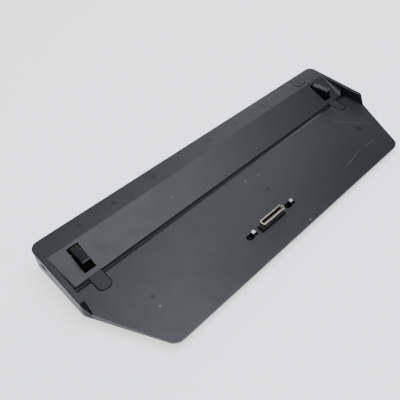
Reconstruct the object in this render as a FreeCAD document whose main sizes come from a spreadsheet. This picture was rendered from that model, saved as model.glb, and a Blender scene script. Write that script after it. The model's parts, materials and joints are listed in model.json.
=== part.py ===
import FreeCAD, Part
import math
import os
import re
import Sketcher

# Laptop docking station. +Z is up, +X is to the right, +Y is to the rear, and the origin is on the table
# under the middle of the case. All sizes are millimetres.
SIZES = {
    # case outline and heights, heights counted from the case's lower rim
    "width": 344.0, "depth": 127.0, "rim_lift": 6.0, "rear_height": 18.8, "top_slope": 0.062,
    "kink_y": -1.6, "chamfer_inset": 31.1, "lip_height": 2.0, "deck_slope": 0.0695,
    "rear_radius": 7.0, "kink_radius": 12.0, "nose_radius": 10.0, "edge_radius": 0.8,
    # side walls, sloped band and groove
    "wall": 4.4, "wall_front_y": -1.0, "ramp_foot_y": -8.1,
    "band_rear_y": 45.0, "band_front_y": 17.0, "band_front_height": 7.315, "band_slope": 0.3692,
    "trough_front_y": 12.2, "trough_foot_y": 15.6, "trough_height": 5.5, "trough_radius": 0.8,
    "cove_rear": 1.2, "cove_front": 4.5,
    # shells
    "shell": 2.0, "side_shell": 2.2, "band_shell": 2.3, "nose_solid": 9.5,
    "flange_inset": 1.2, "flange_thick": 1.2, "tray_inset": 7.0, "floor_bottom": 1.5, "floor_thick": 2.0,
    # guide hooks in their slots
    "guide_x": 148.3, "guide_slot_width": 9.9, "guide_slot_front": 20.9, "guide_slot_rear": 42.5,
    "guide_width": 7.0, "guide_front": 22.5, "guide_rear": 40.8, "guide_low": 11.5,
    "guide_top_front": 24.5, "guide_top_rear": 23.5, "guide_pin_y": 39.0, "guide_pin_z": 17.5,
    "guide_pin_radius": 1.0, "guide_round": 0.7, "running_gap": 0.04, "housing_wall": 1.4, "housing_low": 5.0,
    # rest pads
    "pad_width": 11.0, "pad_front": 0.9, "pad_rear": 16.9, "pad_gap": 0.6, "pad_proud": 0.2,
    "pad_pocket": 1.4, "pad_radius": 4.5,
    # docking connector and its latch
    "dock_x": -16.0, "dock_y": -39.7, "dock_long": 28.6, "dock_wide": 6.4, "dock_gap": 0.4,
    "dock_flange_top": 12.0, "rim_long": 26.2, "rim_wide": 5.4, "rim_wall": 0.6, "rim_top": 16.0,
    "rim_radius": 1.7, "core_top": 15.2, "slit_wide": 2.3, "slit_long": 22.4, "slit_low": 8.0,
    "slit_offset": 0.55, "contact_count": 20.0, "contact_pitch": 1.0, "contact_wide": 0.5,
    "latch_span": 47.0, "latch_y": -39.3, "latch_slot_long": 11.5, "latch_slot_wide": 4.8,
    "latch_rest": 1.5, "hook_long": 4.4, "hook_shank": 2.6, "hook_wide": 3.0, "hook_rise": 4.2,
    "hook_head": 2.0, "latch_travel": 4.0,
    "slider_low": 6.4, "slider_thick": 0.8, "slider_front": -35.6, "slider_rear": -30.0,
    "slider_left": -42.0, "arm_left": 133.0, "arm_wide": 7.0, "arm_front": 3.0, "arm_rear": 10.0,
    "arm_end": 163.0, "tab_high": 9.8, "rivet_radius": 0.8,
    "release_front": 1.6, "release_rear": 11.2, "release_low": 7.5, "release_high": 10.1,
    "release_depth": 0.3, "release_gap": 0.3,
    "latch_spring_y": -20.0, "latch_spring_z": 6.0, "latch_spring_radius": 1.6, "latch_spring_wire": 0.5,
    "latch_spring_long": 14.0, "latch_spring_turns": 9.0,
    # power button
    "power_x": 139.1, "power_y": 52.9, "power_long": 13.2, "power_wide": 8.8, "power_gap": 0.55,
    "power_proud": 0.2, "power_lip": 0.9, "power_radius": 4.0,
    # circuit boards
    "board_low": 6.8, "board_thick": 1.4, "board_half": 138.0, "board_front": 20.0, "board_rear": 59.5,
    "dock_board_low": 4.4, "dock_board_thick": 1.2,
    # rear panel and sockets
    "panel_left": -149.0, "panel_right": 119.0, "panel_low": 7.0, "panel_high": 22.3, "panel_thick": 1.0,
    "window_left": -146.0, "window_right": 116.0, "window_low": 7.6, "window_high": 21.8, "socket_face": 62.9,
    "usb_wide": 13.2, "usb_high": 5.8, "usb_deep": 14.0, "usb_wall": 0.4, "usb_z": 12.4,
    "net_wide": 16.0, "net_high": 13.2, "net_deep": 15.5, "net_wall": 0.6,
    "dc_wide": 9.0, "dc_high": 11.0, "dc_deep": 13.0, "dc_bore": 3.2, "dc_pin": 1.0,
    "video_z": 14.8, "standoff_half": 2.4, "standoff_bore": 1.2,
    # security lock slot
    "lock_y": 46.2, "lock_z": 16.3, "lock_long": 7.0, "lock_high": 3.0, "lock_lip": 0.5,
    # fasteners and feet
    "screw_shank": 1.25, "screw_head": 2.7, "screw_head_high": 1.1, "boss_radius": 3.2,
    "board_screw_shank": 1.0, "board_screw_head": 2.3, "board_screw_head_high": 1.3,
    "foot_radius": 6.0, "foot_sink": 0.5,
}

doc = FreeCAD.newDocument("DockingStation")
sheet = doc.addObject("Spreadsheet::Sheet", "Sizes")
for row, (alias, size) in enumerate(SIZES.items(), start=1):
    sheet.set(f"A{row}", alias)
    sheet.set(f"B{row}", str(size))
    sheet.setAlias(f"B{row}", alias)
doc.recompute()

ALIASES = re.compile(r"\b(" + "|".join(SIZES) + r")\b")
SIDES = {"left": -1, "right": 1}
NODES = []


# ---------------------------------------------------------------- helpers that bind geometry to the sheet

def formula(text):
    """A formula in the sheet's words, as FreeCAD reads it."""
    return ALIASES.sub(r"Sizes.\1", str(text))


def number(text):
    """What a formula comes to now."""
    return float(sheet.evalExpression(formula(text)))


def bind(thing, name, text):
    thing.setExpression(name, formula(text))


def node(thing, label):
    """Name a finished sub-part and list it for export."""
    thing.Label = label
    NODES.append(thing)
    return thing


def box(low, high):
    """A block between two corners, each a triple of formulas."""
    block = doc.addObject("Part::Box", "Block")
    for axis, size, (start, end) in zip("xyz", ("Length", "Width", "Height"), zip(low, high)):
        bind(block, size, f"({end}) - ({start})")
        bind(block, f"Placement.Base.{axis}", start)
    return block


def rod(base, radius, height, axis="Z"):
    """A cylinder from a base point along one axis."""
    turn = {"Z": (0, 0, 1, 0), "X": (0, 1, 0, 90), "Y": (1, 0, 0, -90)}[axis]
    cylinder = doc.addObject("Part::Cylinder", "Rod")
    cylinder.Placement.Rotation = FreeCAD.Rotation(FreeCAD.Vector(*turn[:3]), turn[3])
    bind(cylinder, "Radius", radius)
    bind(cylinder, "Height", height)
    for axis_name, start in zip("xyz", base):
        bind(cylinder, f"Placement.Base.{axis_name}", start)
    return cylinder


def fuse(parts):
    joined = doc.addObject("Part::MultiFuse", "Joined")
    joined.Shapes = parts
    return joined


def cut(base, tools):
    result = doc.addObject("Part::Cut", "Cut")
    result.Base = base
    result.Tool = tools[0] if len(tools) == 1 else fuse(tools)
    return result


def group(parts):
    gathered = doc.addObject("Part::Compound", "Group")
    gathered.Links = parts
    return gathered


def new_sketch(body, plane, offset):
    """A sketch on one of the body's origin planes, moved along that plane's normal."""
    sketch = body.newObject("Sketcher::SketchObject", "Outline")
    base = [feature for feature in body.Origin.OriginFeatures if feature.Role == plane + "_Plane"][0]
    sketch.AttachmentSupport = [(base, "")]
    sketch.MapMode = "FlatFace"
    bind(sketch, "AttachmentOffset.Base.z", offset)
    return sketch


def hold(sketch, kind, element, point, text):
    """Hold one coordinate of a point to a formula."""
    index = sketch.addConstraint(Sketcher.Constraint(kind, -1, 1, element, point, number(text)))
    bind(sketch, f"Constraints[{index}]", text)


def polygon(body, plane, points, offset="0"):
    sketch = new_sketch(body, plane, offset)
    corners = [FreeCAD.Vector(number(u), number(v), 0) for u, v in points]
    count = len(corners)
    for index in range(count):
        sketch.addGeometry(Part.LineSegment(corners[index], corners[(index + 1) % count]), False)
    for index in range(count):
        sketch.addConstraint(Sketcher.Constraint("Coincident", index, 2, (index + 1) % count, 1))
    for index, (u, v) in enumerate(points):
        hold(sketch, "DistanceX", index, 1, u)
        hold(sketch, "DistanceY", index, 1, v)
    return sketch


def feature(body, kind, sketch, length, symmetric=False, backwards=False):
    made = body.newObject(f"PartDesign::{kind}", kind)
    made.Profile = sketch
    bind(made, "Length", length)
    made.SideType = "Symmetric" if symmetric else "One side"
    made.Reversed = backwards
    return made


def pad(body, plane, points, length, offset="0", symmetric=False, backwards=False):
    return feature(body, "Pad", polygon(body, plane, points, offset), length, symmetric, backwards)


def pocket(body, plane, points, length, offset="0", symmetric=False, backwards=False):
    """A pocket whose missing volume is checked, because one that points away from the solid cuts nothing."""
    doc.recompute()
    before = body.Tip.Shape.Volume
    made = feature(body, "Pocket", polygon(body, plane, points, offset), length, symmetric, backwards)
    doc.recompute()
    if body.Tip.Shape.Volume > before - 1e-6:
        raise RuntimeError(f"a pocket in {body.Label} cuts nothing")
    return made


def new_body(label="Form"):
    return doc.addObject("PartDesign::Body", label)


def round_edges(body, radius, pick):
    """Fillet the edges of the body's last feature that pick() accepts."""
    doc.recompute()
    base = body.Tip
    names = [f"Edge{place}" for place, edge in enumerate(base.Shape.Edges, start=1) if pick(edge)]
    if not names:
        raise RuntimeError(f"no edge to round in {body.Label}")
    made = body.newObject("PartDesign::Fillet", "Rounding")
    made.Base = (base, names)
    bind(made, "Radius", radius)
    return made


def straight_along(edge, axis):
    if edge.Curve.TypeId != "Part::GeomLine":
        return False
    direction = edge.Curve.Direction
    return abs(abs(getattr(direction, axis)) - 1) < 1e-6


def upright_at(x_limits, y_limits):
    """Picks upright edges whose place in plan is inside the limits."""
    def pick(edge):
        middle = edge.CenterOfMass
        inside = x_limits[0] < abs(middle.x) < x_limits[1] and y_limits[0] < middle.y < y_limits[1]
        return straight_along(edge, "z") and inside
    return pick


def spring_coil(label, axis_start, axis, radius, wire, pitch, turns):
    """A coil spring: a round wire swept along a helix. It reads its sizes from the sheet."""
    helix = Part.makeLongHelix(number(pitch), number(pitch) * number(turns), number(radius))
    start = FreeCAD.Vector(number(radius), 0, 0)
    ring = Part.Wire(Part.makeCircle(number(wire) / 2, start, FreeCAD.Vector(0, 1, 0)))
    coil = doc.addObject("Part::Feature", "Coil")
    coil.Shape = Part.Wire(helix).makePipeShell([ring], True, True)
    turn = FreeCAD.Rotation(FreeCAD.Vector(0, 0, 1), FreeCAD.Vector(*axis))
    coil.Placement = FreeCAD.Placement(FreeCAD.Vector(*[number(part) for part in axis_start]), turn)
    return node(coil, label)


# ---------------------------------------------------------------- the case's surfaces, as formulas

REAR = "depth / 2"
FRONT = "-depth / 2"
HALF = "width / 2"
FLOOR_TOP = "floor_bottom + floor_thick"
TROUGH_FOOT = "rim_lift + trough_height"
TOP_ROOM = "rim_lift + rear_height + 5"
BOARD_TOP = "board_low + board_thick"


def top_height(y):
    return f"rim_lift + rear_height - top_slope * (depth / 2 - ({y}))"


def deck_height(y):
    return f"rim_lift + lip_height + deck_slope * (({y}) + depth / 2)"


def band_height(y):
    return f"rim_lift + band_front_height + band_slope * (({y}) - band_front_y)"


def plan(inset):
    """The case's outline in plan, set in evenly: straight rear half, long front chamfers."""
    run = "(kink_y + depth / 2)"
    slant = f"sqrt({run} ^ 2 + chamfer_inset ^ 2)"
    kink = f"kink_y + ({inset}) * ({slant} - {run}) / chamfer_inset"
    nose = f"width / 2 - chamfer_inset - ({inset}) * ({slant} - chamfer_inset) / {run}"
    side = f"width / 2 - ({inset})"
    rear = f"depth / 2 - ({inset})"
    front = f"-depth / 2 + ({inset})"
    right = [(side, rear), (side, kink), (nose, front)]
    left = [(f"-({u})", v) for u, v in reversed(right)]
    return left + right


def round_plan(body, inset):
    """Round the outline's six upright corners."""
    side = number(HALF)
    kink = number("kink_y")
    round_edges(body, f"rear_radius - ({inset})", upright_at((side - 20, side + 1), (kink + 20, side)))
    round_edges(body, f"kink_radius - ({inset})", upright_at((side - 20, side + 1), (kink - 20, kink + 20)))
    round_edges(body, f"nose_radius - ({inset})", upright_at((side - 60, side - 20), (-side, kink - 20)))


# ---------------------------------------------------------------- shapes that more than one piece uses

def slab(x_from, x_to, y_from, y_to, z_from, z_to):
    return box((x_from, y_from, z_from), (x_to, y_to, z_to))


def sided(side, inner, outer):
    """The low and high X of a span that is mirrored to the left."""
    return (inner, outer) if side > 0 else (f"-({outer})", f"-({inner})")


def pad_form(side, gap, low, high):
    """A D-shaped block under and over the deck, cut between two heights that follow the deck."""
    body = new_body()
    half = f"pad_width / 2 + {gap}"
    left, right = f"{side} * guide_x - ({half})", f"{side} * guide_x + {half}"
    front, rear = f"pad_front - {gap}", f"pad_rear + {gap} / 2"
    pad(body, "XY", [(left, front), (right, front), (right, rear), (left, rear)], "12", offset="6")
    round_edges(body, f"pad_radius + {gap}",
                lambda edge: straight_along(edge, "z") and edge.CenterOfMass.y < number("pad_front") + 1)
    ends = [("-20", f"{deck_height('-20')} + {high}"), ("40", f"{deck_height('40')} + {high}")]
    pocket(body, "YZ", ends + [("40", "40"), ("-20", "40")], "width + 20", symmetric=True)
    ends = [("-20", f"{deck_height('-20')} - {low}"), ("40", f"{deck_height('40')} - {low}")]
    pocket(body, "YZ", ends + [("40", "-10"), ("-20", "-10")], "width + 20", symmetric=True)
    return body


def power_form(gap, low, high):
    """The power button's outline: straight at the rear, round at the front."""
    body = new_body()
    left, right = f"power_x - power_long / 2 - {gap}", f"power_x + power_long / 2 + {gap}"
    front, rear = f"power_y - power_wide / 2 - {gap}", f"power_y + power_wide / 2 + {gap}"
    pad(body, "XY", [(left, front), (right, front), (right, rear), (left, rear)],
        f"({high}) - ({low})", offset=low)
    round_edges(body, f"power_radius + {gap}",
                lambda edge: straight_along(edge, "z") and edge.CenterOfMass.y < number("power_y"))
    return body


def oblong(x_middle, y_middle, long, wide, low, high, radius=None):
    """An upright block with round corners, long in X."""
    body = new_body()
    left, right = f"{x_middle} - ({long}) / 2", f"{x_middle} + ({long}) / 2"
    front, rear = f"{y_middle} - ({wide}) / 2", f"{y_middle} + ({wide}) / 2"
    pad(body, "XY", [(left, front), (right, front), (right, rear), (left, rear)],
        f"({high}) - ({low})", offset=low)
    round_edges(body, radius or f"({wide}) / 2 - 0.01", lambda edge: straight_along(edge, "z"))
    return body


CASE_SCREWS = [(152, 50), (148, -14), (96, -48), (60, 16)]
BOARD_SCREWS = [(118, 26), (40, 26)]
LATCHES = {"left": "dock_x - latch_span / 2", "right": "dock_x + latch_span / 2"}
USB_PLACES = [42, 62.4, 83, 103.6]
NETWORK_X, DIGITAL_X, ANALOG_X, INLET_X = -100.7, -59.2, 6.7, -133.9
DIGITAL = {"x": DIGITAL_X, "flange": 39.4, "mouth": 25.6, "tall": 9.0, "screws": 33.0}
ANALOG = {"x": ANALOG_X, "flange": 31.0, "mouth": 17.0, "tall": 8.4, "screws": 25.0}


# ---------------------------------------------------------------- case

def top_cover_form():
    """The upper shell's outer form: thick at the rear, a thin lip at the front, a well between side walls."""
    body = new_body()
    pad(body, "XY", plan("0"), "rear_height + 1", offset="rim_lift")
    round_plan(body, "0")
    beyond_rear, beyond_front = f"{REAR} + 2", f"{FRONT} - 2"
    above_walls = [(beyond_rear, top_height(beyond_rear)), ("wall_front_y", top_height("wall_front_y")),
                   ("ramp_foot_y", deck_height("ramp_foot_y")), (beyond_front, deck_height(beyond_front)),
                   (beyond_front, TOP_ROOM), (beyond_rear, TOP_ROOM)]
    pocket(body, "YZ", above_walls, "width + 20", symmetric=True)
    well = [("band_rear_y", top_height("band_rear_y")), ("band_front_y", band_height("band_front_y")),
            ("trough_foot_y", TROUGH_FOOT), ("trough_front_y", deck_height("trough_front_y")),
            (beyond_front, deck_height(beyond_front)),
            (beyond_front, TOP_ROOM), ("band_rear_y", TOP_ROOM)]
    pocket(body, "YZ", well, "width - 2 * wall", symmetric=True)
    round_edges(body, "trough_radius", across_at("trough_front_y", "trough_foot_y"))
    round_edges(body, "edge_radius", on_outer_top_edge)
    round_edges(body, "edge_radius / 2", on_wall_inner_edge)
    return coved(body)


def across_at(*places):
    """Picks straight edges across the case at given Y places."""
    def pick(edge):
        near = [abs(edge.CenterOfMass.y - number(place)) < 0.01 for place in places]
        return straight_along(edge, "x") and any(near)
    return pick


def coved(body):
    """The form with a cove where the band meets each side wall, wider towards the front."""
    doc.recompute()
    made = doc.addObject("Part::Fillet", "Coves")
    made.Base = body
    edges = []
    for place, edge in enumerate(body.Shape.Edges, start=1):
        reach = edge.BoundBox
        in_corner = abs(abs(edge.CenterOfMass.x) - number(f"{HALF} - wall")) < 0.01
        on_band = reach.YMin > number("band_front_y") - 0.01 and reach.YLength > 20
        if in_corner and on_band and reach.ZMin > number(TROUGH_FOOT) + 1:
            starts_rear = edge.Vertexes[0].Y > edge.Vertexes[1].Y
            radii = [number("cove_rear"), number("cove_front")]
            edges.append((place, *(radii if starts_rear else radii[::-1])))
    if len(edges) != 2:
        raise RuntimeError(f"{len(edges)} edges to cove")
    made.Edges = edges
    return made


def on_outer_top_edge(edge):
    """The upper edge of the rear and side faces, with the rear corners."""
    middle = edge.CenterOfMass
    on_top = abs(middle.z - number(top_height(f"{middle.y}"))) < 0.02 and middle.y > number("wall_front_y")
    at_corner = abs(middle.x) > number(HALF) - 4 and middle.y > number(REAR) - 4
    at_face = abs(middle.x) > number(HALF) - 0.01 or middle.y > number(REAR) - 0.01
    return on_top and (at_corner or at_face)


def on_wall_inner_edge(edge):
    middle = edge.CenterOfMass
    on_top = abs(middle.z - number(top_height(f"{middle.y}"))) < 0.02
    return on_top and abs(abs(middle.x) - number(f"{HALF} - wall")) < 0.01


def top_cover_cavity():
    """The room inside the upper shell, one shell thickness under its surfaces."""
    body = new_body()
    pad(body, "XY", plan("side_shell"), "rear_height + 2", offset="rim_lift - 1")
    round_plan(body, "side_shell")
    cavity_front = f"{FRONT} + nose_solid"
    roof = [(f"{REAR} + 2", f"{top_height(REAR)} - shell"),
            ("band_rear_y + 0.8", f"{top_height('band_rear_y')} - shell"),
            ("band_front_y + shell", f"{band_height('band_front_y + shell')} - band_shell"),
            ("band_front_y + shell", f"{TROUGH_FOOT} - shell"),
            ("trough_foot_y - 0.9", f"{TROUGH_FOOT} - shell"),
            ("trough_front_y - 0.4", f"{deck_height('trough_front_y - 0.4')} - shell"),
            (cavity_front, f"{deck_height(cavity_front)} - shell"), (cavity_front, "rim_lift - 3"),
            (f"{FRONT} - 2", "rim_lift - 3"), (f"{FRONT} - 2", TOP_ROOM), (f"{REAR} + 2", TOP_ROOM)]
    pocket(body, "YZ", roof, "width + 20", symmetric=True)
    return body


def top_cover():
    tools = [top_cover_cavity()]
    tools.append(slab("window_left", "window_right", f"{REAR} - 4", f"{REAR} + 1",
                      "window_low", "window_high"))
    tools.append(power_form("power_gap", "18", "30"))
    tools.append(oblong("dock_x", "dock_y", "dock_long + 2 * dock_gap", "dock_wide + 2 * dock_gap",
                        "5", "20", "1.0"))
    for middle in LATCHES.values():
        tools.append(oblong(middle, "latch_y", "latch_slot_long", "latch_slot_wide", "5", "20"))
    tools.append(slab(f"{HALF} - 4", f"{HALF} + 1",
                      "release_front - release_gap", "release_rear + release_gap",
                      "release_low - release_gap", "release_high + release_gap"))
    tools.append(slab(f"-({HALF}) - 1", f"-({HALF}) + 4", "lock_y - lock_long / 2 - lock_lip",
                      "lock_y + lock_long / 2 + lock_lip", "lock_z - lock_high / 2 - lock_lip",
                      "lock_z + lock_high / 2 + lock_lip"))
    for side in SIDES.values():
        tools.append(pad_form(side, "pad_gap", "pad_pocket", "3"))
        low, high = sided(side, "guide_x - guide_slot_width / 2", "guide_x + guide_slot_width / 2")
        tools.append(slab(low, high, "guide_slot_front", "guide_slot_rear", "5", "30"))
    shell = cut(top_cover_form(), tools)
    bosses = []
    for x, y in CASE_SCREWS:
        roof = top_height(y) if y > 40 else deck_height(min(y, 12))
        reach = f"{roof} - shell / 2 - ({FLOOR_TOP})" if y != 16 else f"{TROUGH_FOOT} - 1 - ({FLOOR_TOP})"
        for side in SIDES.values():
            bosses.append(rod((side * x, y, FLOOR_TOP), "boss_radius", reach))
    holes = [rod((side * x, y, "0"), "screw_shank", "9") for x, y in CASE_SCREWS for side in SIDES.values()]
    node(cut(fuse([shell] + bosses), holes), "top_cover")


def bottom_cover():
    """The lower tray: a flange under the upper shell's rim and a shallow tray set in from it."""
    body = new_body()
    pad(body, "XY", plan("flange_inset"), "flange_thick", offset="rim_lift - flange_thick")
    round_plan(body, "flange_inset")
    tray = new_body()
    pad(tray, "XY", plan("tray_inset"), "rim_lift - flange_thick - floor_bottom", offset="floor_bottom")
    round_edges(tray, "4", lambda edge: straight_along(edge, "z"))
    round_edges(tray, "edge_radius", lambda edge: abs(edge.CenterOfMass.z - number("floor_bottom")) < 0.01)
    hollow = new_body()
    pad(hollow, "XY", plan("tray_inset + shell"), "rim_lift", offset=FLOOR_TOP)
    round_edges(hollow, "2.5", lambda edge: straight_along(edge, "z"))
    shell = cut(fuse([body, tray]), [hollow])
    posts, holes = [], []
    for x, y in BOARD_SCREWS:
        for side in SIDES.values():
            for row_y in (y, y + 16):
                posts.append(rod((side * x, row_y, "floor_bottom + 1"), "boss_radius - 0.4",
                                 "board_low - floor_bottom - 1"))
                holes.append(rod((side * x, row_y, FLOOR_TOP), "board_screw_shank", "board_low"))
    for x in ("dock_x - 19", "dock_x + 21"):
        posts.append(rod((x, "-48", "floor_bottom + 1"), "2.6", "dock_board_low - floor_bottom - 1"))
        holes.append(rod((x, "-48", "floor_bottom + 1.2"), "board_screw_shank", "6"))
    posts.append(slab("arm_left - latch_spring_long - 2.4", "arm_left - latch_spring_long",
                      "latch_spring_y - 3", "latch_spring_y + 3", "floor_bottom + 1", "8"))
    for x, y in CASE_SCREWS:
        for side in SIDES.values():
            holes.append(rod((side * x, y, "0"), "screw_head + 0.3", "floor_bottom + screw_head_high + 0.1"))
            holes.append(rod((side * x, y, "0"), "screw_shank + 0.15", "9"))
    for x, y in feet_places().values():
        holes.append(rod((x, y, "0"), "foot_radius + 0.15", "floor_bottom + foot_sink"))
    node(cut(fuse([shell] + posts), holes), "bottom_cover")


def feet_places():
    places = {"rear_middle": (0, 42), "front_middle": (0, -47)}
    for name, side in SIDES.items():
        places[f"rear_{name}"] = (side * 148, 38)
        places[f"front_{name}"] = (side * 112, -36)
    return places


def feet():
    for name, (x, y) in feet_places().items():
        body = new_body()
        tall = "floor_bottom + foot_sink"
        outline = [("0", "0"), ("foot_radius", "0"), ("foot_radius", tall), ("0", tall)]
        sketch = polygon(body, "XZ", outline)
        turned = body.newObject("PartDesign::Revolution", "Turned")
        turned.Profile = sketch
        turned.ReferenceAxis = (sketch, ["V_Axis"])
        round_edges(body, "0.6", lambda edge: abs(edge.CenterOfMass.z) < 0.01 and edge.Length > 10
                    and edge.Curve.TypeId == "Part::GeomCircle")
        body.Placement.Base = FreeCAD.Vector(x, y, 0)
        node(body, f"foot_{name}")


def rear_panel():
    face = f"{REAR} - side_shell"
    plate = slab("panel_left", "panel_right", f"{face} - panel_thick", face, "panel_low", "panel_high")
    holes = []

    def opening(x, wide, low, high):
        holes.append(slab(f"{x} - ({wide}) / 2", f"{x} + ({wide}) / 2", "50", "70", low, high))

    for x in USB_PLACES:
        opening(x, "usb_wide + 0.4", "usb_z - usb_high / 2 - 0.2", "usb_z + usb_high / 2 + 0.2")
    opening(NETWORK_X, "net_wide + 0.4", f"{BOARD_TOP} - 0.1", f"{BOARD_TOP} + net_high + 0.2")
    opening(INLET_X, "dc_wide + 0.4", f"{BOARD_TOP} - 0.1", f"{BOARD_TOP} + dc_high + 0.2")
    for socket in (DIGITAL, ANALOG):
        opening(socket["x"], f"{socket['mouth']} + 0.6", f"video_z - {socket['tall']} / 2 - 0.3",
                f"video_z + {socket['tall']} / 2 + 0.3")
        for side in SIDES.values():
            holes.append(rod((socket["x"] + side * socket["screws"] / 2, "50", "video_z"), "1.6", "20", "Y"))
    node(cut(plate, holes), "rear_panel")


def rating_label():
    """A plain blank label in the middle of the underside."""
    node(slab("-32", "32", "-8", "20", "floor_bottom - 0.15", "floor_bottom"), "rating_label")


def lock_plate():
    """A steel plate behind the lock slot in the left wall."""
    face = f"-({HALF}) + side_shell"
    plate = slab(face, f"{face} + 1.2", "lock_y - 6.2", "lock_y + 9", "8", "19.3")
    slot = slab(f"{face} - 1", f"{face} + 2", "lock_y - lock_long / 2", "lock_y + lock_long / 2",
                "lock_z - lock_high / 2", "lock_z + lock_high / 2")
    node(cut(plate, [slot]), "lock_plate")


def case_screws():
    screws = []
    for x, y in CASE_SCREWS:
        for side in SIDES.values():
            head = rod((side * x, y, "floor_bottom + 0.1"), "screw_head", "screw_head_high")
            socket = rod((side * x, y, "0"), "0.9", "floor_bottom + 0.8")
            shank = rod((side * x, y, "floor_bottom + 0.5"), "screw_shank", "6.2")
            screws.append(cut(fuse([head, shank]), [socket]))
    node(group(screws), "case_screws")


# ---------------------------------------------------------------- guide hooks and rest pads

def guide(name, side):
    """A wedge-shaped guide post: level on top, upright at the front, hinged at its rear end."""
    low, high = sided(side, "guide_x - guide_width / 2", "guide_x + guide_width / 2")
    body = new_body()
    outline = [("guide_rear", "guide_top_rear"), ("guide_front", "guide_top_front"),
               ("guide_front", "guide_low"),
               ("guide_front + 4", "guide_low"), ("guide_pin_y - 2.5", "guide_pin_z - 2.2"),
               ("guide_rear", "guide_pin_z - 2.2")]
    pad(body, "YZ", outline, "guide_width", offset=low)
    round_edges(body, "guide_round", lambda edge: edge.BoundBox.ZMin > number("guide_top_rear") - 0.1)
    bore = rod((f"{low} - 1", "guide_pin_y", "guide_pin_z"), "guide_pin_radius + running_gap",
               "guide_width + 2", "X")
    node(cut(body, [bore]), f"guide_hook_{name}")

    half = "guide_slot_width / 2"
    inner_low, inner_high = sided(side, f"guide_x - {half}", f"guide_x + {half}")
    outer_low, outer_high = f"{inner_low} - housing_wall", f"{inner_high} + housing_wall"
    housing = new_body()
    roof = "(band_shell + 0.15)"
    front, rear = "guide_slot_front - housing_wall", "guide_slot_rear + housing_wall"
    outline = [(front, "housing_low"), (front, f"{band_height(front)} - {roof}"),
               (rear, f"{band_height(rear)} - {roof}"), (rear, "guide_pin_z - 4"),
               ("guide_slot_front + 10", "housing_low")]
    pad(housing, "YZ", outline, "guide_slot_width + 2 * housing_wall", offset=outer_low)
    hollow = slab(inner_low, inner_high, "guide_slot_front", "guide_slot_rear", "0", "30")
    seat = rod((f"{outer_low} - 1", "guide_pin_y", "guide_pin_z"), "guide_pin_radius",
               "guide_slot_width + 2 * housing_wall + 2", "X")
    node(cut(housing, [hollow, seat]), f"guide_housing_{name}")
    node(rod((outer_low, "guide_pin_y", "guide_pin_z"), "guide_pin_radius",
             "guide_slot_width + 2 * housing_wall", "X"), f"guide_pin_{name}")
    coil_from, _ = sided(side, "guide_x + guide_width / 2 + 0.27", "guide_x + guide_width / 2 + 1.11")
    spring_coil(f"guide_spring_{name}", (coil_from, "guide_pin_y", "guide_pin_z"), (1, 0, 0),
                "guide_pin_radius + 0.5", "0.36", "0.42", "2")


def rest_pad(name, side):
    body = pad_form(side, "0", "(pad_pocket - 0.02)", "pad_proud")
    round_edges(body, "0.3", lambda edge: edge.CenterOfMass.z > number(deck_height("8")) - 1
                and abs(edge.tangentAt(edge.FirstParameter).z) < 0.5
                and edge.BoundBox.ZMin > number(deck_height("pad_front")) - 0.05)
    node(body, f"rest_pad_{name}")


# ---------------------------------------------------------------- docking connector and latch

def dock_connector():
    insulator = oblong("dock_x", "dock_y", "dock_long", "dock_wide", "dock_board_low + dock_board_thick",
                       "dock_flange_top", "0.8")
    core = oblong("dock_x", "dock_y", "rim_long - 2 * rim_wall", "rim_wide - 2 * rim_wall",
                  "dock_flange_top - 1", "core_top", "rim_radius - rim_wall")
    slit = slab("dock_x - slit_long / 2", "dock_x + slit_long / 2", "dock_y + slit_offset - slit_wide / 2",
                "dock_y + slit_offset + slit_wide / 2", "slit_low", "20")
    node(cut(fuse([insulator, core]), [slit]), "connector_insulator")
    rim = oblong("dock_x", "dock_y", "rim_long", "rim_wide", "dock_flange_top", "rim_top", "rim_radius")
    bore = oblong("dock_x", "dock_y", "rim_long - 2 * rim_wall", "rim_wide - 2 * rim_wall",
                  "dock_flange_top - 1", "rim_top + 1", "rim_radius - rim_wall")
    node(cut(rim, [bore]), "connector_shell")
    contacts = []
    for place in range(round(number("contact_count"))):
        x = f"dock_x + ({place} - (contact_count - 1) / 2) * contact_pitch - contact_wide / 2"
        contacts.append(slab(x, f"{x} + contact_wide", "dock_y + slit_offset - slit_wide / 2",
                             "dock_y + slit_offset - slit_wide / 2 + 0.25", "slit_low", "core_top - 0.4"))
    node(group(contacts), "connector_contacts")
    board = slab("dock_x - 30", "dock_x + 30", "-51", "-32.5", "dock_board_low",
                 "dock_board_low + dock_board_thick")
    holes = [rod((x, "-48", "0"), "board_screw_shank + 0.2", "10") for x in ("dock_x - 19", "dock_x + 21")]
    node(cut(board, holes), "connector_board")


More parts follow.
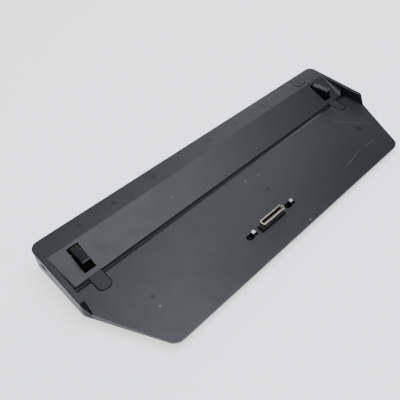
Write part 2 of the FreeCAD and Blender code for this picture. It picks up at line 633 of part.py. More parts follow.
def latch():
    """Two hooks on one steel slider, which a long arm joins to the release button in the right side."""
    low, high = "slider_low", "slider_low + slider_thick"
    arm_right = "arm_left + arm_wide"
    strips = [slab("slider_left", arm_right, "slider_front", "slider_rear", low, high),
              slab("arm_left", arm_right, "slider_front", "arm_rear", low, high),
              slab("arm_left", "arm_end", "arm_front", "arm_rear", low, high),
              slab("arm_end - slider_thick", "arm_end", "arm_front", "arm_rear", low, "tab_high"),
              slab("arm_left", "arm_left + slider_thick", "latch_spring_y - 3", "latch_spring_y + 3",
                   "slider_low - 2.2", high)]
    rivets, holes = [], []
    for name, slot_middle in LATCHES.items():
        middle = f"{slot_middle} + latch_rest"
        shank_x = f"{middle} - hook_long / 2 + hook_shank / 2"
        strips.append(slab(f"{middle} - 3.5", f"{middle} + 3.5", "latch_y - hook_wide / 2 - 0.6",
                           "slider_front + 1", low, high))
        holes.append(rod((shank_x, "latch_y", "0"), "rivet_radius", "20"))
        shank = rod((shank_x, "latch_y", "slider_low - 0.5"), "rivet_radius", "slider_thick + 2.5")
        head = rod((shank_x, "latch_y", "slider_low - 0.6"), "rivet_radius + 0.5", "0.6")
        rivets.append(fuse([shank, head]))
        latch_hook(name, middle, shank_x, high)
    node(cut(fuse(strips), holes), "latch_slider")
    node(group(rivets), "latch_rivets")
    pitch = "(latch_spring_long - latch_spring_wire) / latch_spring_turns"
    spring_coil("latch_spring",
                ("arm_left - latch_spring_long + latch_spring_wire / 2", "latch_spring_y", "latch_spring_z"),
                (1, 0, 0), "latch_spring_radius", "latch_spring_wire", pitch, "latch_spring_turns")
    head = slab("arm_end + 5.2", f"{HALF} - release_depth", "release_front", "release_rear",
                "release_low", "release_high")
    flange = slab("arm_end + 5.0", "arm_end + 6.4", "release_front - 0.9", "release_rear + 0.5",
                  "release_low - 0.5", "release_high")
    stem = slab("arm_end + 0.1", "arm_end + 5.2", "arm_front + 0.5", "arm_rear - 0.5",
                "release_low", "tab_high")
    node(fuse([head, flange, stem]), "release_button")


def latch_hook(name, middle, shank_x, low):
    """A hook that leans over to the right, with a sloping nose for the computer's slot to push on."""
    top = f"{deck_height('latch_y')} + hook_rise"
    left, right = f"{middle} - hook_long / 2", f"{middle} + hook_long / 2"
    outline = [(left, low), (f"{left} + hook_shank", low),
               (f"{left} + hook_shank", f"{top} - hook_head - 0.4"),
               (right, f"{top} - hook_head"), (right, f"{top} - 1.0"), (f"{right} - 1.3", top),
               (f"{left} + 0.6", top), (left, f"{top} - 0.7")]
    body = new_body()
    pad(body, "XZ", outline, "hook_wide", offset="-(latch_y)", symmetric=True)
    round_edges(body, "0.35", lambda edge: edge.BoundBox.ZMin > number(f"{top} - 1.05"))
    bore = rod((shank_x, "latch_y", "0"), "rivet_radius", "slider_low + slider_thick + 2")
    node(cut(body, [bore]), f"latch_hook_{name}")


# ---------------------------------------------------------------- power button

def power_button():
    cap_low = f"{top_height('power_y')} - shell - 0.9"
    cap_high = f"{top_height('power_y')} + power_proud"
    cap = power_form("0", cap_low, f"{cap_high} + 1")
    slope = [("40", f"{top_height('40')} + power_proud"), ("66", f"{top_height('66')} + power_proud"),
             ("66", "40"), ("40", "40")]
    pocket(cap, "YZ", slope, "width + 20", symmetric=True)
    skirt = power_form("power_lip", f"{cap_low} - 1.0", f"{cap_low} - 0.05")
    stem = rod(("power_x", "power_y", "13.4"), "1.8", f"{cap_low} - 13.4")
    neck = rod(("power_x", "power_y", f"{cap_low} - 0.5"), "3.2", "1.0")
    node(fuse([cap, skirt, neck, stem]), "power_button")
    base = slab("power_x - 3", "power_x + 3", "power_y - 3", "power_y + 3", BOARD_TOP, f"{BOARD_TOP} + 3.4")
    plunger = rod(("power_x", "power_y", f"{BOARD_TOP} + 3"), "1.6", "1.2")
    node(fuse([base, plunger]), "power_switch")


# ---------------------------------------------------------------- circuit boards and what is on them

def main_board():
    body = new_body()
    outline = [("-board_half", "board_front"), ("board_half", "board_front"), ("board_half", "45.5"),
               ("146", "45.5"), ("146", "board_rear"), ("-board_half", "board_rear")]
    pad(body, "XY", outline, "board_thick", offset="board_low")
    holes = []
    screws = []
    for x, y in BOARD_SCREWS:
        for side in SIDES.values():
            for row_y in (y, y + 16):
                place = (side * x, row_y)
                holes.append(rod((*place, "0"), "board_screw_shank + 0.2", "12"))
                shank = rod((*place, f"{FLOOR_TOP} + 0.5"), "board_screw_shank", f"{BOARD_TOP} - 4")
                screws.append(screw_on_board(place, shank, BOARD_TOP))
    for x in ("dock_x - 19", "dock_x + 21"):
        top = "dock_board_low + dock_board_thick"
        shank = rod((x, "-48", "floor_bottom + 1.6"), "board_screw_shank", f"{top} - floor_bottom - 1.6")
        flat_head = rod((x, "-48", top), "board_screw_head", "0.7")
        screws.append(fuse([shank, flat_head]))
    node(cut(body, holes), "main_circuit_board")
    node(group(screws), "board_screws")


def screw_on_board(place, shank, top):
    head = rod((*place, top), "board_screw_head", "board_screw_head_high")
    recess = rod((*place, f"{top} + board_screw_head_high - 0.6"), "0.8", "1")
    return cut(fuse([shank, head]), [recess])


def board_parts():
    chips = [(-60, 34, 14, 14, 1.6), (0, 34, 17, 17, 1.8), (60, 36, 10, 12, 1.4), (92, 34, 8, 6, 1.2),
             (-96, 34, 9, 9, 1.4)]
    blocks = [slab(x - long / 2, x + long / 2, y - wide / 2, y + wide / 2, BOARD_TOP, f"{BOARD_TOP} + {tall}")
              for x, y, long, wide, tall in chips]
    node(group(blocks), "controller_chips")
    cans = [rod((x, 52, BOARD_TOP), "3", "7.5") for x in (-118, -84, -30, -22)]
    node(group(cans), "capacitors")


def ribbon_cable():
    """A flat ribbon from the connector's board, under the latch slider, to the main board's underside."""
    body = new_body()
    low, thick = "dock_board_low + dock_board_thick", "0.3"
    path = [("-35.9", low), ("16", low), ("21", f"board_low - {thick}"), ("28", f"board_low - {thick}")]
    upper = [(y, f"{z} + {thick}") for y, z in reversed(path)]
    pad(body, "YZ", path + upper, "24", offset="dock_x - 12")
    node(body, "ribbon_cable")


def stiffener_plate():
    """A steel sheet against the underside of the deck."""
    body = new_body()
    roof = [("-28", f"{deck_height('-28')} - shell"), ("11.5", f"{deck_height('11.5')} - shell")]
    under = [(y, f"{z} - 0.8") for y, z in reversed(roof)]
    pad(body, "YZ", roof + under, "240", symmetric=True)
    node(body, "stiffener_plate")


# ---------------------------------------------------------------- rear sockets

def usb_sockets():
    for place, x in enumerate(USB_PLACES, start=1):
        half, tall = "usb_wide / 2", "usb_high / 2"
        outer = slab(f"{x} - {half}", f"{x} + {half}", "socket_face - usb_deep", "socket_face",
                     f"usb_z - {tall}", f"usb_z + {tall}")
        mouth = slab(f"{x} - {half} + usb_wall", f"{x} + {half} - usb_wall", "socket_face - usb_deep + 1.5",
                     "socket_face + 1", f"usb_z - {tall} + usb_wall", f"usb_z + {tall} - usb_wall")
        legs = [slab(f"{x} + {side} * 6.2 - 0.3", f"{x} + {side} * 6.2 + 0.3", "52", "54", BOARD_TOP,
                     f"usb_z - {tall} + 0.2") for side in SIDES.values()]
        node(cut(fuse([outer] + legs), [mouth]), f"usb_shell_{place}")
        root = "socket_face - usb_deep + 1.5"
        node(slab(f"{x} - 5.5", f"{x} + 5.5", root, "socket_face - 1", "usb_z + 0.1", "usb_z + 1.9"),
             f"usb_tongue_{place}")


def network_socket():
    x, low = NETWORK_X, BOARD_TOP
    outer = slab(f"{x} - net_wide / 2", f"{x} + net_wide / 2", "socket_face - net_deep", "socket_face", low,
                 f"{low} + net_high")
    room = slab(f"{x} - net_wide / 2 + net_wall", f"{x} + net_wide / 2 - net_wall",
                "socket_face - net_deep + net_wall", "socket_face + 1", f"{low} + net_wall",
                f"{low} + net_high - net_wall")
    node(cut(outer, [room]), "network_shell")
    block = slab(f"{x} - net_wide / 2 + net_wall", f"{x} + net_wide / 2 - net_wall",
                 "socket_face - net_deep + net_wall", "socket_face - 0.2", f"{low} + net_wall",
                 f"{low} + net_high - net_wall")
    mouth = slab(f"{x} - 5.9", f"{x} + 5.9", "socket_face - 12", "socket_face + 1", f"{low} + 3.2",
                 f"{low} + 10.8")
    notch = slab(f"{x} - 3", f"{x} + 3", "socket_face - 12", "socket_face + 1",
                 f"{low} + 2.1", f"{low} + 3.3")
    key = slab(f"{x} - 1.6", f"{x} + 1.6", "socket_face - 12", "socket_face + 1", f"{low} + 1.3",
               f"{low} + 2.2")
    node(cut(block, [mouth, notch, key]), "network_insulator")


def video_socket(name, socket, pin_columns, pin_rows):
    """A metal shell with a flange behind the rear panel, and a moulded face with pin holes in it."""
    x, mouth, tall = socket["x"], socket["mouth"], socket["tall"]
    behind = f"{REAR} - side_shell - panel_thick"
    flange = slab(f"{x} - {socket['flange']} / 2", f"{x} + {socket['flange']} / 2", f"{behind} - 0.8", behind,
                  "video_z - 6.1", "video_z + 6.1")
    body = new_body()
    half, rise, bevel = f"{mouth} / 2", f"{tall} / 2", 1.6
    face = [(f"{x} - {half}", f"video_z + {rise}"), (f"{x} + {half}", f"video_z + {rise}"),
            (f"{x} + {half} - {bevel}", f"video_z - {rise}"),
            (f"{x} - {half} + {bevel}", f"video_z - {rise}")]
    pad(body, "XZ", face, f"socket_face + 0.4 - ({behind}) + 0.4", offset=f"-({behind} - 0.4)",
        backwards=True)
    round_edges(body, "1.2", lambda edge: edge.CenterOfMass.y > number(f"{behind}")
                and edge.BoundBox.YLength > 1)
    hollow = new_body()
    inner = [(f"{x} - {half} + 0.6", f"video_z + {rise} - 0.5"),
             (f"{x} + {half} - 0.6", f"video_z + {rise} - 0.5"),
             (f"{x} + {half} - {bevel} - 0.5", f"video_z - {rise} + 0.5"),
             (f"{x} - {half} + {bevel} + 0.5", f"video_z - {rise} + 0.5")]
    pad(hollow, "XZ", inner, "20", offset="-50", backwards=True)
    screw_holes = [rod((x + side * socket["screws"] / 2, "50", "video_z"), "1.6", "20", "Y")
                   for side in SIDES.values()]
    node(cut(fuse([flange, body]), [hollow] + screw_holes), f"{name}_video_shell")

    insulator = new_body()
    pad(insulator, "XZ", inner, "9.4", offset="-53", backwards=True)
    holes = []
    for column in range(pin_columns):
        for line in range(pin_rows):
            pin_x = f"{x} + ({column} - {pin_columns - 1} / 2) * {(mouth - 7) / (pin_columns - 1):.3f}"
            pin_z = f"video_z + ({line} - {pin_rows - 1} / 2) * 1.9"
            holes.append(rod((pin_x, "59", pin_z), "0.45", "8", "Y"))
    node(cut(insulator, holes), f"{name}_video_insulator")


def jack_standoffs():
    pieces = []
    base = f"{REAR} - side_shell"
    for socket in (DIGITAL, ANALOG):
        for side in SIDES.values():
            x = socket["x"] + side * socket["screws"] / 2
            body = new_body()
            corners = [(f"{x} + {math.cos(math.radians(turn)):.4f} * standoff_half / 0.866",
                        f"video_z + {math.sin(math.radians(turn)):.4f} * standoff_half / 0.866")
                       for turn in range(0, 360, 60)]
            pad(body, "XZ", corners, "2.0", offset=f"-({base})", backwards=True)
            stud = rod((x, f"{base} - 4", "video_z"), "1.5", "4.2", "Y")
            bore = rod((x, f"{base} - 2.5", "video_z"), "standoff_bore", "6", "Y")
            pieces.append(cut(fuse([body, stud]), [bore]))
    node(group(pieces), "jack_standoffs")


def dc_inlet():
    x, low = INLET_X, BOARD_TOP
    middle = f"{low} + dc_high / 2"
    block = slab(f"{x} - dc_wide / 2", f"{x} + dc_wide / 2", "socket_face - dc_deep", "socket_face", low,
                 f"{low} + dc_high")
    bore = rod((x, "socket_face - 10", middle), "dc_bore", "12", "Y")
    node(cut(block, [bore]), "dc_inlet")
    node(rod((x, "socket_face - 10", middle), "dc_pin", "8.5", "Y"), "dc_pin")


# ---------------------------------------------------------------- build, check and write

top_cover()
bottom_cover()
rear_panel()
rating_label()
lock_plate()
case_screws()
feet()
for side_name, side_sign in SIDES.items():
    guide(side_name, side_sign)
    rest_pad(side_name, side_sign)
dock_connector()
latch()
power_button()
main_board()
board_parts()
ribbon_cable()
stiffener_plate()
usb_sockets()
network_socket()
video_socket("digital", DIGITAL, 8, 3)
video_socket("analog", ANALOG, 5, 3)
jack_standoffs()
dc_inlet()
doc.recompute()

for thing in doc.Objects:
    if {"Invalid", "Error"} & set(thing.State):
        raise RuntimeError(f"{thing.Label} is {thing.State}")
for part in NODES:
    if part.Shape.isNull() or not part.Shape.isValid():
        raise RuntimeError(f"{part.Label} has no valid shape")

os.makedirs("parts", exist_ok=True)
for part in NODES:
    part.Shape.exportStep(f"parts/{part.Label}.step")
print(len(NODES), "nodes written")
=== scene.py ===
"""Looks of the laptop docking station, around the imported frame.

The camera and the lights are placed in metres. Sizes and places on the dock itself are in mm.
"""

import json
import math

import bpy
from mathutils import Matrix, Vector

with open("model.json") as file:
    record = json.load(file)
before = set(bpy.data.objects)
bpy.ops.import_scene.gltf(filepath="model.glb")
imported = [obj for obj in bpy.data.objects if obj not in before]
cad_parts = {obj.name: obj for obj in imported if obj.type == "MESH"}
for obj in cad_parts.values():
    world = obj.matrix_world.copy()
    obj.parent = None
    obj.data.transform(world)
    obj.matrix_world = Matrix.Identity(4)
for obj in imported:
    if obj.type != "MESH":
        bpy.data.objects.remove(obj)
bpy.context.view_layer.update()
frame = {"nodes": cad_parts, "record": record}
nodes = frame["nodes"]
MM = 0.001


# ---------------------------------------------------------------- camera, floor and lights

CAMERA_PLACE = (-0.22120, -0.17424, 0.28837)
CAMERA_TURN = math.radians(43.27)
CAMERA_PITCH = math.radians(46.69)
CAMERA_ROLL = math.radians(-1.74)
CAMERA_LENS = 41.07
SENSOR = 36.0


def add_camera():
    """The camera stands to the left and in front of the dock and looks down across it."""
    sine, cosine = math.sin(CAMERA_TURN), math.cos(CAMERA_TURN)
    ahead = Vector((sine * math.cos(CAMERA_PITCH), cosine * math.cos(CAMERA_PITCH), -math.sin(CAMERA_PITCH)))
    level = Vector((cosine, -sine, 0))
    down = ahead.cross(level)
    right = math.cos(CAMERA_ROLL) * level - math.sin(CAMERA_ROLL) * down
    below = math.sin(CAMERA_ROLL) * level + math.cos(CAMERA_ROLL) * down
    data = bpy.data.cameras.new("camera")
    data.sensor_width = SENSOR
    data.lens = CAMERA_LENS
    data.clip_start, data.clip_end = 0.01, 20
    camera = bpy.data.objects.new("camera", data)
    bpy.context.scene.collection.objects.link(camera)
    turn = Matrix((right, -below, -ahead)).transposed().to_4x4()
    camera.matrix_world = Matrix.Translation(CAMERA_PLACE) @ turn
    bpy.context.scene.camera = camera


def add_light(name, place, target, size, watts, colour=(1, 1, 1)):
    """A soft rectangular light that points at a target."""
    data = bpy.data.lights.new(name, "AREA")
    data.shape = "RECTANGLE"
    data.size, data.size_y = size
    data.energy = watts
    data.color = colour
    light = bpy.data.objects.new(name, data)
    bpy.context.scene.collection.objects.link(light)
    light.location = place
    light.rotation_euler = (Vector(target) - Vector(place)).to_track_quat("-Z", "Y").to_euler()


def add_floor():
    """A plain paper floor, with a faint glow of its own like a lit sweep's."""
    bpy.ops.mesh.primitive_plane_add(size=8, location=(0, 0, 0))
    floor = bpy.context.object
    floor.name = "floor"
    paper = bpy.data.materials.new("floor_paper")
    paper.use_nodes = True
    shader = paper.node_tree.nodes["Principled BSDF"]
    shader.inputs["Base Color"].default_value = (0.93, 0.93, 0.93, 1)
    shader.inputs["Roughness"].default_value = 0.9
    shader.inputs["Emission Color"].default_value = (1, 1, 1, 1)
    shader.inputs["Emission Strength"].default_value = 1.1
    floor.data.materials.append(paper)


def add_world(colour, strength):
    world = bpy.data.worlds.new("studio")
    world.use_nodes = True
    back = world.node_tree.nodes["Background"]
    back.inputs["Color"].default_value = (*colour, 1)
    back.inputs["Strength"].default_value = strength
    bpy.context.scene.world = world


add_camera()
add_floor()
add_world((0.96, 0.99, 1.06), 0.2)
add_light("overhead", (0.17, 0, 1.0), (0, 0, 0), (0.9, 0.9), 12.1, (0.935, 0.98, 1.10))
add_light("left", (-1.0, 0, 0.7), (0, 0, 0), (0.6, 0.6), 3.2, (0.94, 0.98, 1.09))
add_light("rear", (0.3, 1.3, 0.5), (0, 0, 0), (0.6, 0.4), 1.5)
add_light("rear_right", (1.1, 1.0, 0.5), (0, 0, 0), (0.6, 0.4), 6)


# ---------------------------------------------------------------- procedural finishes

MATERIALS = {}


class Finish:
    """A Principled material and the nodes that feed it. Patterns are fixed to the frame.

    Sizes and places are given in mm. A mask is 1 where it acts and 0 elsewhere.
    """

    def __init__(self, name, roughness, metallic=0.0):
        self.material = bpy.data.materials.new(name)
        self.material.use_nodes = True
        self.tree = self.material.node_tree
        self.shader = self.tree.nodes["Principled BSDF"]
        self.shader.inputs["Roughness"].default_value = roughness
        self.shader.inputs["Metallic"].default_value = metallic
        self.place = self.add("ShaderNodeTexCoord").outputs["Object"]
        MATERIALS[name] = self.material

    def add(self, kind, **settings):
        made = self.tree.nodes.new(kind)
        for name, value in settings.items():
            setattr(made, name, value)
        return made

    def feed(self, socket, value):
        """Links an output to a socket, or sets the socket's own value."""
        if isinstance(value, bpy.types.NodeSocket):
            self.tree.links.new(value, socket)
        else:
            socket.default_value = value

    def stretched(self, scale):
        """The place with each axis scaled, for a drawn-out pattern."""
        mapping = self.add("ShaderNodeMapping")
        self.feed(mapping.inputs["Vector"], self.place)
        mapping.inputs["Scale"].default_value = scale
        return mapping.outputs["Vector"]

    def noise(self, size_mm, detail=3.0, roughness=0.5, distortion=0.0, vector=None):
        noise = self.add("ShaderNodeTexNoise")
        self.feed(noise.inputs["Vector"], vector or self.place)
        noise.inputs["Scale"].default_value = 1 / (size_mm * MM)
        noise.inputs["Detail"].default_value = detail
        noise.inputs["Roughness"].default_value = roughness
        noise.inputs["Distortion"].default_value = distortion
        return noise.outputs["Fac"]

    def cells(self, size_mm):
        """The distance from the middle of the nearest of many scattered cells."""
        cells = self.add("ShaderNodeTexVoronoi")
        self.feed(cells.inputs["Vector"], self.place)
        cells.inputs["Scale"].default_value = 1 / (size_mm * MM)
        return cells.outputs["Distance"]

    def spread(self, value, low, high, out_low=0.0, out_high=1.0, smooth=False):
        """Stretches a value between low and high, and clamps it."""
        ramp = self.add("ShaderNodeMapRange", interpolation_type="SMOOTHSTEP" if smooth else "LINEAR")
        self.feed(ramp.inputs["Value"], value)
        limits = {"From Min": low, "From Max": high, "To Min": out_low, "To Max": out_high}
        for socket, number in limits.items():
            ramp.inputs[socket].default_value = number
        return ramp.outputs["Result"]

    def maths(self, operation, first, second=0.0):
        made = self.add("ShaderNodeMath", operation=operation)
        self.feed(made.inputs[0], first)
        self.feed(made.inputs[1], second)
        return made.outputs[0]

    def inverse(self, mask):
        return self.maths("SUBTRACT", 1.0, mask)

    def both(self, first, second):
        """The product of two masks, or of a mask and a strength."""
        return self.maths("MULTIPLY", first, second)

    def any_of(self, masks):
        """The strongest of several masks at each point."""
        total = masks[0]
        for mask in masks[1:]:
            total = self.maths("MAXIMUM", total, mask)
        return total

    def mix(self, factor, first, second):
        """A colour between two colours, each a tuple or an output."""
        made = self.add("ShaderNodeMix", data_type="RGBA")
        self.feed(made.inputs["Factor"], factor)
        self.feed(made.inputs["A"], (*first, 1) if isinstance(first, tuple) else first)
        self.feed(made.inputs["B"], (*second, 1) if isinstance(second, tuple) else second)
        return made.outputs["Result"]

    def colour(self, value):
        self.feed(self.shader.inputs["Base Color"], value)

    def rough(self, value):
        self.feed(self.shader.inputs["Roughness"], value)

    def bump(self, height, depth_mm):
        """Adds a relief of that depth over the reliefs already there."""
        made = self.add("ShaderNodeBump")
        made.inputs["Strength"].default_value = 1.0
        made.inputs["Distance"].default_value = depth_mm * MM
        self.feed(made.inputs["Height"], height)
        below = self.shader.inputs["Normal"]
        if below.is_linked:
            self.feed(made.inputs["Normal"], below.links[0].from_socket)
        self.feed(below, made.outputs["Normal"])

    def plan(self):
        """The place seen from above, with no height."""
        flat = self.add("ShaderNodeVectorMath", operation="MULTIPLY")
        self.feed(flat.inputs[0], self.place)
        flat.inputs[1].default_value = (1, 1, 0)
        return flat.outputs["Vector"]

    def vector(self, operation, first, second):
        """Vector maths. A SCALE's second value is a number, and the others' is a vector."""
        made = self.add("ShaderNodeVectorMath", operation=operation)
        self.feed(made.inputs[0], first)
        self.feed(made.inputs["Scale" if operation == "SCALE" else 1], second)
        return made.outputs["Value" if operation in ("DOT_PRODUCT", "DISTANCE") else "Vector"]

    def stroke(self, start, end, width, soft=0.2):
        """1 within half a width of a straight line on the plan, and 0 beyond its soft edge."""
        line = on_plan(end) - on_plan(start)
        ahead = line.normalized()
        away = self.vector("SUBTRACT", self.plan(), on_plan(start))
        along = self.vector("DOT_PRODUCT", away, ahead)
        along = self.maths("MAXIMUM", self.maths("MINIMUM", along, line.length), 0.0)
        gap = self.vector("DISTANCE", away, self.vector("SCALE", ahead, along))
        return self.spread(gap, width / 2 * MM, (width / 2 + soft) * MM, 1, 0, smooth=True)

    def apart(self, place):
        """The distance on the plan from a place, in metres."""
        return self.vector("DISTANCE", self.plan(), on_plan(place))

    def spot(self, place, radius, soft):
        """1 inside a round spot on the plan."""
        return self.spread(self.apart(place), radius * MM, (radius + soft) * MM, 1, 0, smooth=True)

    def along(self, axis):
        """The place along one axis, in metres."""
        parts = self.add("ShaderNodeSeparateXYZ")
        self.feed(parts.inputs[0], self.place)
        return parts.outputs[axis]

    def away(self, axis, place):
        """The distance along an axis from a place, in metres."""
        return self.maths("ABSOLUTE", self.maths("SUBTRACT", self.along(axis), place * MM))

    def outline(self, place, half_sizes, line):
        """1 on the outline of a small upright rectangle on the plan."""
        reach = [self.maths("SUBTRACT", self.away(axis, centre), half * MM)
                 for axis, centre, half in zip("XY", place, half_sizes)]
        edge = self.maths("ABSOLUTE", self.maths("MAXIMUM", *reach))
        return self.spread(edge, line / 2 * MM, (line / 2 + 0.1) * MM, 1, 0)

    def height(self, low, high):
        """0 below one height over the desk and 1 above another."""
        return self.spread(self.along("Z"), low * MM, high * MM)

    def beyond(self, axis, near, far):
        """0 nearer the middle than one distance and 1 past another, on both sides."""
        return self.spread(self.away(axis, 0), near * MM, far * MM)

    def between(self, axis, low, high):
        """1 between two places along an axis."""
        half = (high - low) / 2
        return self.spread(self.away(axis, (low + high) / 2), (half - 0.1) * MM, (half + 0.1) * MM, 1, 0)

    def over(self, mask, colour, strength=1.0):
        """Lays a colour over the base colour where the mask is 1."""
        below = self.shader.inputs["Base Color"].links[0].from_socket
        self.colour(self.mix(self.both(mask, strength), below, colour))

    def shine(self, value):
        """Sets the specular level, which most of this dark plastic's brightness comes from."""
        self.feed(self.shader.inputs["Specular IOR Level"], value)


def on_plan(place):
    """A place on the plan in mm, as a vector in metres."""
    return Vector((*place, 0)) * MM


def tone(colour, factor):
    return tuple(channel * factor for channel in colour)


def middle(name):
    """The middle of a node's box, in mm."""
    corners = [Vector(corner) for corner in nodes[name].bound_box]
    return sum(corners, Vector()) / len(corners) / MM


def moulded(name, colour, grain_mm=0.35, grain_depth=0.02, roughness=0.5, mottle=0.16):
    """Moulded plastic: a fine spark-eroded grain over slow changes of tone."""
    finish = Finish(name, roughness)
    slow = finish.noise(45, 4)
    fine = finish.noise(2.5, 3)
    tint = finish.mix(finish.spread(slow, 0.35, 0.65), tone(colour, 1 - mottle), tone(colour, 1 + mottle))
    finish.colour(finish.mix(finish.spread(fine, 0.3, 0.7, 0, 0.3), tint, tone(colour, 1.5)))
    finish.rough(finish.spread(finish.noise(12, 4), 0.3, 0.7, roughness - 0.02, roughness + 0.025))
    finish.bump(finish.noise(grain_mm, 2), grain_depth)
    return finish


def metal(name, colour, roughness, brushed=(1, 1, 1)):
    """Metal with a fine grain, which a brushed one has drawn out across its scale."""
    finish = Finish(name, roughness, metallic=1.0)
    grain = finish.noise(0.4, 4, vector=finish.stretched(brushed))
    finish.colour(finish.mix(finish.spread(finish.noise(4, 3), 0.35, 0.65), tone(colour, 0.88), colour))
    finish.rough(finish.spread(grain, 0.3, 0.7, roughness * 0.75, roughness * 1.3))
    finish.bump(grain, 0.004)
    return finish


# ---------------------------------------------------------------- the case, with its wear, marks and painted shade

CHARCOAL = (0.006, 0.0064, 0.0078)
# A pale colour for scratches, specks and dust, and also for the painted highlight on the guides' top front
# edge.
CHALK_AND_HIGHLIGHT = (0.16, 0.16, 0.165)

# Places on the case are in mm. A scratch is its two ends and its width.
SCRATCHES = [((121, -1), (149, -30), 0.35), ((117, -44), (131, -45), 0.3), ((79, -47), (107, -43), 0.3),
             ((15, -37), (19, -33), 0.4)]
# A speck or a smudge is its place and its radius.
SPECKS = [((0, 3), 0.5), ((7, -61), 0.6), ((-60, 30), 0.4), ((-131, -35), 0.5), ((14, 0), 0.4)]
SMUDGES = [((133, -26), 3), ((7, -16), 1.6), ((-130, -26), 1.6)]
DUST_APART = 7

# Hands wear a strip along the deck's front edge. The trough's floor, between the side walls, and the side
# walls' front ramps get painted shade as less shine.
HANDLED_ENDS = ((-60, -62), (90, -62))
HANDLED_WIDTH, HANDLED_FADE = 10, 60
TROUGH_FLOOR = (14.9, 16.1)
TROUGH_END = 159
WALL_RAMP = (-8.2, -1.2)
WALL_INSIDE = 167.7

# A port mark is half its width and half its length, over the socket that it stands for.
USB_MARK = (0.9, 1.5)
PORT_MARKS = {"dc_inlet": (1.2, 1.2), "network_shell": (1.5, 1.2), "digital_video_shell": (1.7, 1.1),
              "analog_video_shell": (1.7, 1.1), "usb_shell_1": USB_MARK, "usb_shell_2": USB_MARK,
              "usb_shell_3": USB_MARK, "usb_shell_4": USB_MARK}
MARK_ROW = 54
MARK_LINE = 0.7


def add_wear(finish):
    """Lays scratches, specks and dust over the colour."""
    broken = finish.spread(finish.noise(1.6, 2), 0.35, 0.6, 0.15, 1)
    scratches = finish.any_of([finish.stroke(*scratch) for scratch in SCRATCHES])
    finish.over(finish.both(scratches, broken), CHALK_AND_HIGHLIGHT, 0.5)
    finish.over(finish.any_of([finish.spot(place, size, 0.3) for place, size in SPECKS]), CHALK_AND_HIGHLIGHT)
    finish.over(finish.spread(finish.cells(DUST_APART), 0.02, 0.045, 1, 0), CHALK_AND_HIGHLIGHT, 0.45)


def grease(finish):
    """How much smudges and the handled strip take from the shine."""
    smudges = finish.any_of([finish.spot(place, size * 0.5, size) for place, size in SMUDGES])
    handled = finish.stroke(*HANDLED_ENDS, HANDLED_WIDTH, soft=HANDLED_FADE)
    return finish.maths("ADD", finish.both(smudges, 0.36), finish.both(handled, 0.24))


def marks_and_painted_shade(finish):
    """How much the printed port marks take from the shine, and how much painted shade takes from it on the
    wall ramps and on the trough's floor.
    """
    marks = finish.any_of([finish.outline((middle(socket).x, MARK_ROW), half_sizes, MARK_LINE)
                           for socket, half_sizes in PORT_MARKS.items()])
    # Painted shade: the side walls' front ramps and the trough's floor lose shine.
    ramp_shade = finish.both(finish.beyond("X", WALL_INSIDE, WALL_INSIDE + 0.2), finish.between("Y", *WALL_RAMP))
    inside = finish.inverse(finish.beyond("X", TROUGH_END, TROUGH_END + 1))
    trough_shade = finish.both(inside, finish.between("Y", *TROUGH_FLOOR))
    return finish.any_of([finish.both(marks, 0.4), finish.both(ramp_shade, 0.75), finish.both(trough_shade, 0.35)])


def case_plastic():
    """The upper shell's plastic with its printed port marks, scratches, specks and smudges, and painted
    shade in the trough and on the wall ramps.
    """
    finish = moulded("case_plastic", CHARCOAL, roughness=0.47, mottle=0.1)
    add_wear(finish)
    cloud = finish.spread(finish.noise(30, 5, 0.55, 0.4), 0.3, 0.7, 0.505, 0.545)
    matt = finish.both(cloud, finish.inverse(grease(finish)))
    # Less shine on the wall ramps and in the trough is painted shade; on the port marks it is print.
    finish.shine(finish.both(matt, finish.inverse(marks_and_painted_shade(finish))))


# ---------------------------------------------------------------- the other finishes

# Where the painted highlight lies along the guides' top front edge, in mm.
GUIDE_HIGHLIGHT_SPAN = (22.2, 23.1)
GUIDE_HIGHLIGHT_LOW = 23.6
SYMBOL_RADIUS = 1.7
SYMBOL_BAR = (0.5, 2.3)
# Below this height the hooks get painted shade.
HOOK_HEAD_LOW = 12.2
INSULATOR_SHADE_LINE = 15.0


def guide_plastic():
    """The guides' plastic, with a painted highlight: pale colour along the front edge of the top."""
    finish = moulded("guide_plastic", (0.004, 0.0041, 0.0045), grain_mm=0.3, roughness=0.42)
    # Painted highlight: pale colour laid along the top front edge of the guides.
    edge = finish.both(finish.between("Y", *GUIDE_HIGHLIGHT_SPAN), finish.height(GUIDE_HIGHLIGHT_LOW, GUIDE_HIGHLIGHT_LOW + 0.4))
    broken = finish.spread(finish.noise(1.2, 2), 0.3, 0.6, 0.4, 1)
    finish.over(finish.both(edge, broken), CHALK_AND_HIGHLIGHT, 0.6)
    finish.shine(0.36)


def button_plastic():
    """The button's plastic with the usual ring and bar on top."""
    finish = moulded("button_plastic", CHARCOAL, grain_mm=0.25, grain_depth=0.01, roughness=0.45)
    x, y, _ = middle("power_button")
    off_ring = finish.maths("ABSOLUTE", finish.maths("SUBTRACT", finish.apart((x, y)), SYMBOL_RADIUS * MM))
    ring = finish.spread(off_ring, 0.15 * MM, 0.3 * MM, 1, 0)
    bar = finish.stroke(*[(x, y + reach) for reach in SYMBOL_BAR], 0.4)
    finish.shine(finish.spread(finish.any_of([ring, bar]), 0, 1, 0.48, 0.1))


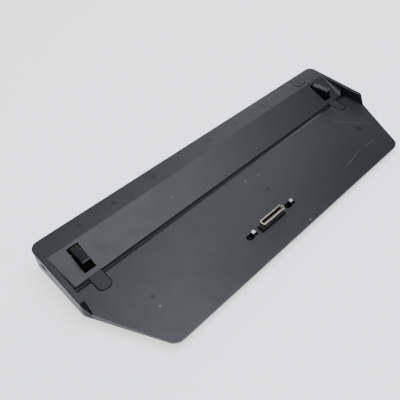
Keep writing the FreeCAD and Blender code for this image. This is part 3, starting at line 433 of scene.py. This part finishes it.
def hook_steel_painted_shade():
    """Bright steel on the hook's head, where the computer rubs it, with painted shade below: the shank
    darkened under the head, where it sits down in its slot.
    """
    finish = metal("hook_steel_painted_shade", (0.54, 0.57, 0.61), 0.28)
    # Painted shade: the hook below its head darkened nearly to black.
    finish.over(finish.inverse(finish.height(HOOK_HEAD_LOW, HOOK_HEAD_LOW + 0.7)), (0.03, 0.03, 0.032))


def insulator_beige():
    """The docking connector's body, beige above the deck, with painted shade below: dark brown where it sits
    down in its opening.
    """
    finish = moulded("insulator_beige", (0.15, 0.13, 0.095))
    # Painted shade: dark brown below the deck line.
    finish.over(finish.inverse(finish.height(INSULATOR_SHADE_LINE, INSULATOR_SHADE_LINE + 0.1)), (0.020, 0.015, 0.011))


case_plastic()
guide_plastic()
button_plastic()
hook_steel_painted_shade()
insulator_beige()
moulded("base_plastic", tone(CHARCOAL, 0.85), grain_mm=0.5, roughness=0.55)
moulded("pad_rubber", (0.006, 0.0062, 0.0066), grain_mm=0.25, roughness=0.52).shine(0.42)
moulded("foot_rubber", (0.012, 0.012, 0.0125), grain_mm=0.6, grain_depth=0.03, roughness=0.75)
moulded("panel_paint", (0.02, 0.021, 0.023), grain_mm=0.6, roughness=0.45)
moulded("label_film", (0.28, 0.29, 0.3), grain_mm=1.5, grain_depth=0.005, roughness=0.4, mottle=0.04)
moulded("insulator_black", (0.012, 0.012, 0.013), roughness=0.4)
moulded("insulator_blue", (0.01, 0.06, 0.28), roughness=0.4)
moulded("board_green", (0.01, 0.07, 0.03), roughness=0.3)
moulded("ribbon_film", (0.6, 0.58, 0.5), roughness=0.3)
metal("zinc_steel", (0.55, 0.56, 0.57), 0.35, brushed=(1, 12, 12))
metal("spring_steel", (0.4, 0.41, 0.43), 0.3)
metal("black_steel", (0.05, 0.05, 0.055), 0.4)
metal("nickel", (0.47, 0.437, 0.385), 0.27)
metal("contact_gold", (0.9, 0.62, 0.25), 0.25)
metal("can_aluminium", (0.8, 0.8, 0.81), 0.3)

# These pieces look other than their slot says: the hooks, with painted shade below their heads, and the lock
# plate, made black steel as painted shade behind the lock slot.
PAINTED_SHADE_FINISH = {"latch_hook_left": "hook_steel_painted_shade", "latch_hook_right": "hook_steel_painted_shade", "lock_plate": "black_steel"}
for part in frame["record"]["subparts"]:
    materials = nodes[part["node"]].data.materials
    materials.clear()
    materials.append(MATERIALS[PAINTED_SHADE_FINISH.get(part["node"], part["material_slot"])])
